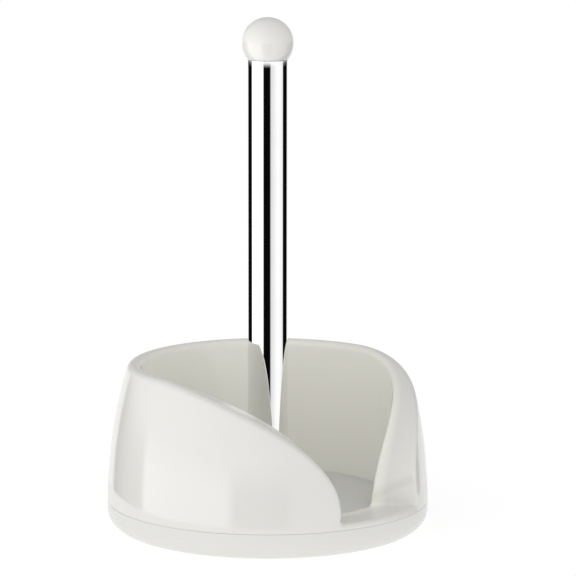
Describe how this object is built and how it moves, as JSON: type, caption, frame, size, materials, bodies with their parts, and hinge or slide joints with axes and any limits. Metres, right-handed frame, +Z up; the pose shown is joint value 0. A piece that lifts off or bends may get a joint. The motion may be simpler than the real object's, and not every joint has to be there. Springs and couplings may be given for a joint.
{
  "type": "paper towel holder",
  "caption": "Free-standing paper towel holder: a double-walled white cup with a splayed tear opening, a weighted base and a chromed post with a ball knob.",
  "frame": {"origin": "on the post's axis, at the plane that the feet rest on", "axes": "+Z up along the post; the tear opening faces -Y; its +X flank is a little steeper than its -X flank"},
  "size_m": [0.2006, 0.2006, 0.32],
  "materials": {
    "cup_white": "moulded gloss",
    "knob_white": "moulded gloss",
    "pad_grey": "matt, soft touch",
    "chrome": "polished",
    "steel": "zinc plated",
    "screw_steel": "bright zinc",
    "brass": "machined",
    "washer_nylon": "plain nylon",
    "foot_rubber": "matt"
  },
  "bodies": {
    "base": {"cup_shell": "cup_white", "base_cover": "cup_white", "well_pad": "pad_grey", "ballast_plate": "steel", "ballast_screws": "screw_steel", "cover_screws": "screw_steel", "foot_1": "foot_rubber", "foot_2": "foot_rubber", "foot_3": "foot_rubber", "foot_4": "foot_rubber", "hub_insert": "brass"},
    "post_carrier": {"post_washer": "washer_nylon"},
    "post": {"post_tube": "chrome", "lower_plug": "steel", "post_stud": "screw_steel", "upper_plug": "steel"},
    "knob_carrier": {"knob_washer": "washer_nylon"},
    "knob": {"ball_knob": "knob_white", "knob_insert": "brass", "knob_stud": "screw_steel"}
  },
  "joints": [
    {"name": "post_lift", "type": "slide", "parent": "base", "child": "post_carrier", "axis": [0, 0, 1], "range_m": [0, 0.01]},
    {"name": "post_turn", "type": "hinge", "parent": "post_carrier", "child": "post", "pos_m": [0, 0, 0.0202], "axis": [0, 0, 1], "range_deg": [0, 2880]},
    {"name": "knob_lift", "type": "slide", "parent": "post", "child": "knob_carrier", "axis": [0, 0, 1], "range_m": [0, 0.008]},
    {"name": "knob_turn", "type": "hinge", "parent": "knob_carrier", "child": "knob", "pos_m": [0, 0, 0.2946], "axis": [0, 0, 1], "range_deg": [0, 2880]}
  ],
  "couplings": [
    {"joint": "post_turn", "follows": "post_lift", "rad_per_m": 5026.5},
    {"joint": "knob_turn", "follows": "knob_lift", "rad_per_m": 6283.1}
  ]
}
